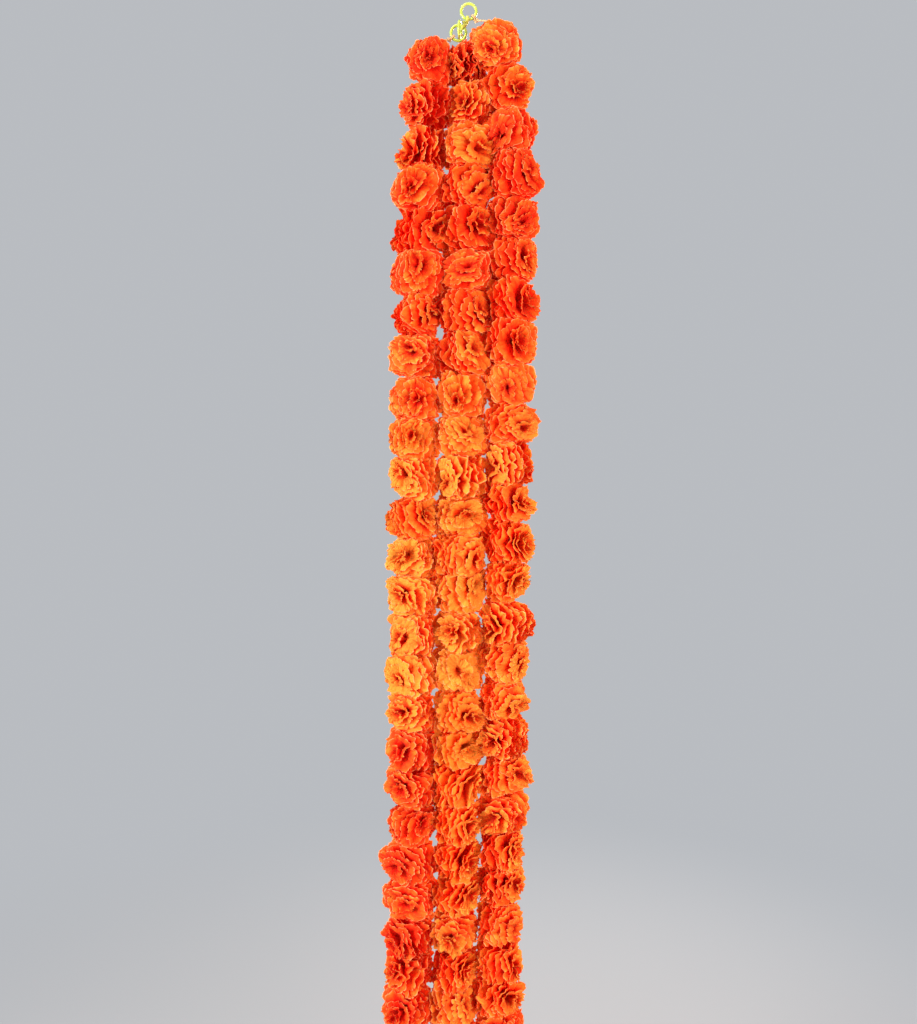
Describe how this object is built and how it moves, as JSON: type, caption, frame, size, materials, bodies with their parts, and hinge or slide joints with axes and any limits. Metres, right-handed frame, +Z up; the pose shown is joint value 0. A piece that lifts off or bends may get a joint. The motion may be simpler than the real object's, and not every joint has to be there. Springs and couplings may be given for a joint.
{
  "type": "marigold garland",
  "caption": "Bundle of artificial marigold garlands: strands of layered fabric blooms threaded close together on nylon cords, hung side by side from small linked plastic rings.",
  "frame": {"origin": "the hanging point: the inside of the uppermost ring, at its top, where a hook's finger bears", "axes": "+Z up against the pull of the hanging garland, which hangs down along -Z; +X to the right seen from the front; the front looks along -Y"},
  "size_m": [0.161, 0.0645, 1.5337],
  "materials": {
    "petal_fabric": "matt crinkled polyester, red-orange to yellow-orange",
    "ring_plastic": "glossy, lime green, slightly translucent",
    "tie_nylon": "yellow-green monofilament, satin",
    "cord_nylon": "tan twisted nylon, satin"
  },
  "bodies": {
    "root": {"blooms_left_01": "petal_fabric", "blooms_left_02": "petal_fabric", "blooms_left_03": "petal_fabric", "blooms_left_04": "petal_fabric", "blooms_left_05": "petal_fabric", "blooms_left_06": "petal_fabric", "blooms_left_07": "petal_fabric", "blooms_left_08": "petal_fabric", "blooms_left_09": "petal_fabric", "blooms_left_10": "petal_fabric", "blooms_left_11": "petal_fabric", "blooms_left_12": "petal_fabric", "blooms_left_13": "petal_fabric", "blooms_left_14": "petal_fabric", "blooms_left_15": "petal_fabric", "blooms_left_16": "petal_fabric", "blooms_left_17": "petal_fabric", "blooms_middle_01": "petal_fabric", "blooms_middle_02": "petal_fabric", "blooms_middle_03": "petal_fabric", "blooms_middle_04": "petal_fabric", "blooms_middle_05": "petal_fabric", "blooms_middle_06": "petal_fabric", "blooms_middle_07": "petal_fabric", "blooms_middle_08": "petal_fabric", "blooms_middle_09": "petal_fabric", "blooms_middle_10": "petal_fabric", "blooms_middle_11": "petal_fabric", "blooms_middle_12": "petal_fabric", "blooms_middle_13": "petal_fabric", "blooms_middle_14": "petal_fabric", "blooms_middle_15": "petal_fabric", "blooms_middle_16": "petal_fabric", "blooms_middle_17": "petal_fabric", "blooms_right_01": "petal_fabric", "blooms_right_02": "petal_fabric", "blooms_right_03": "petal_fabric", "blooms_right_04": "petal_fabric", "blooms_right_05": "petal_fabric", "blooms_right_06": "petal_fabric", "blooms_right_07": "petal_fabric", "blooms_right_08": "petal_fabric", "blooms_right_09": "petal_fabric", "blooms_right_10": "petal_fabric", "blooms_right_11": "petal_fabric", "blooms_right_12": "petal_fabric", "blooms_right_13": "petal_fabric", "blooms_right_14": "petal_fabric", "blooms_right_15": "petal_fabric", "blooms_right_16": "petal_fabric", "blooms_right_17": "petal_fabric", "ring_left": "ring_plastic", "ring_middle": "ring_plastic", "ring_right": "ring_plastic", "ring_tie": "tie_nylon", "cord_left": "cord_nylon", "cord_middle": "cord_nylon", "cord_right": "cord_nylon"}
  },
  "joints": []
}
